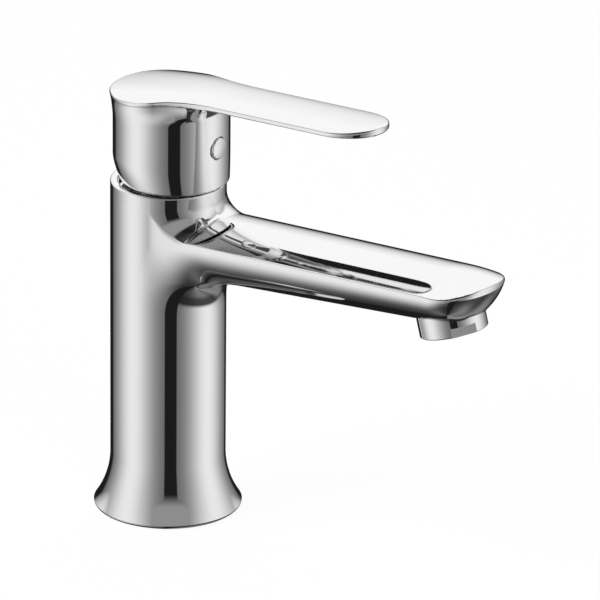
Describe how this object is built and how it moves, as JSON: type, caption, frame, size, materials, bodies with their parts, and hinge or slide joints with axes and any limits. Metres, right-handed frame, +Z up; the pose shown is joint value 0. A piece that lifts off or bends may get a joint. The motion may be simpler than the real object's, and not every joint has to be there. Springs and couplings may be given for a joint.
{
  "type": "bathroom mixer faucet",
  "caption": "Single-lever basin mixer: round column on a flared foot, creased spout with aerator, and a lever handle that lifts for flow and turns for temperature.",
  "frame": {"origin": "centre of the foot, on the deck it stands on", "axes": "+Z up along the column, +X along the spout and the lever, +Y to the right of a person at the basin"},
  "size_m": [0.177, 0.0566, 0.1754],
  "materials": {
    "chrome": "polished",
    "brass": "machined",
    "steel": "satin",
    "shell_plastic": "moulded",
    "guide_plastic": "moulded",
    "stop_plastic": "moulded",
    "aerator_plastic": "moulded",
    "ceramic": "lapped",
    "rubber": "matt"
  },
  "bodies": {
    "mixer": {"faucet_body": "chrome", "base_seal": "rubber", "cartridge_housing": "shell_plastic", "cartridge_base": "shell_plastic", "base_gasket": "rubber", "disc_gasket": "rubber", "fixed_ceramic_disc": "ceramic", "retaining_nut": "brass", "temperature_stop_ring": "stop_plastic", "aerator_housing": "chrome", "aerator_washer": "rubber", "aerator_insert": "aerator_plastic", "aerator_screen": "aerator_plastic"},
    "turret": {"lever_turret": "guide_plastic", "turret_seal": "rubber", "stem_pin": "steel"},
    "lever": {"lever_stem": "steel", "lever_handle": "chrome", "grub_screw": "steel", "index_plug": "chrome"},
    "disc": {"moving_ceramic_disc": "ceramic", "disc_carrier": "guide_plastic"}
  },
  "joints": [
    {"name": "temperature_swivel", "type": "hinge", "parent": "mixer", "child": "turret", "pos_m": [0, 0, 0.141], "axis": [0, 0, 1], "range_deg": [-45, 45]},
    {"name": "flow_lift", "type": "hinge", "parent": "turret", "child": "lever", "pos_m": [0, 0, 0.141], "axis": [0, -1, 0], "range_deg": [0, 20]},
    {"name": "disc_slide", "type": "slide", "parent": "turret", "child": "disc", "axis": [1, 0, 0], "range_m": [0, 0.0046]}
  ],
  "couplings": [
    {"joint": "disc_slide", "follows": "flow_lift", "m_per_rad": 0.01293}
  ]
}
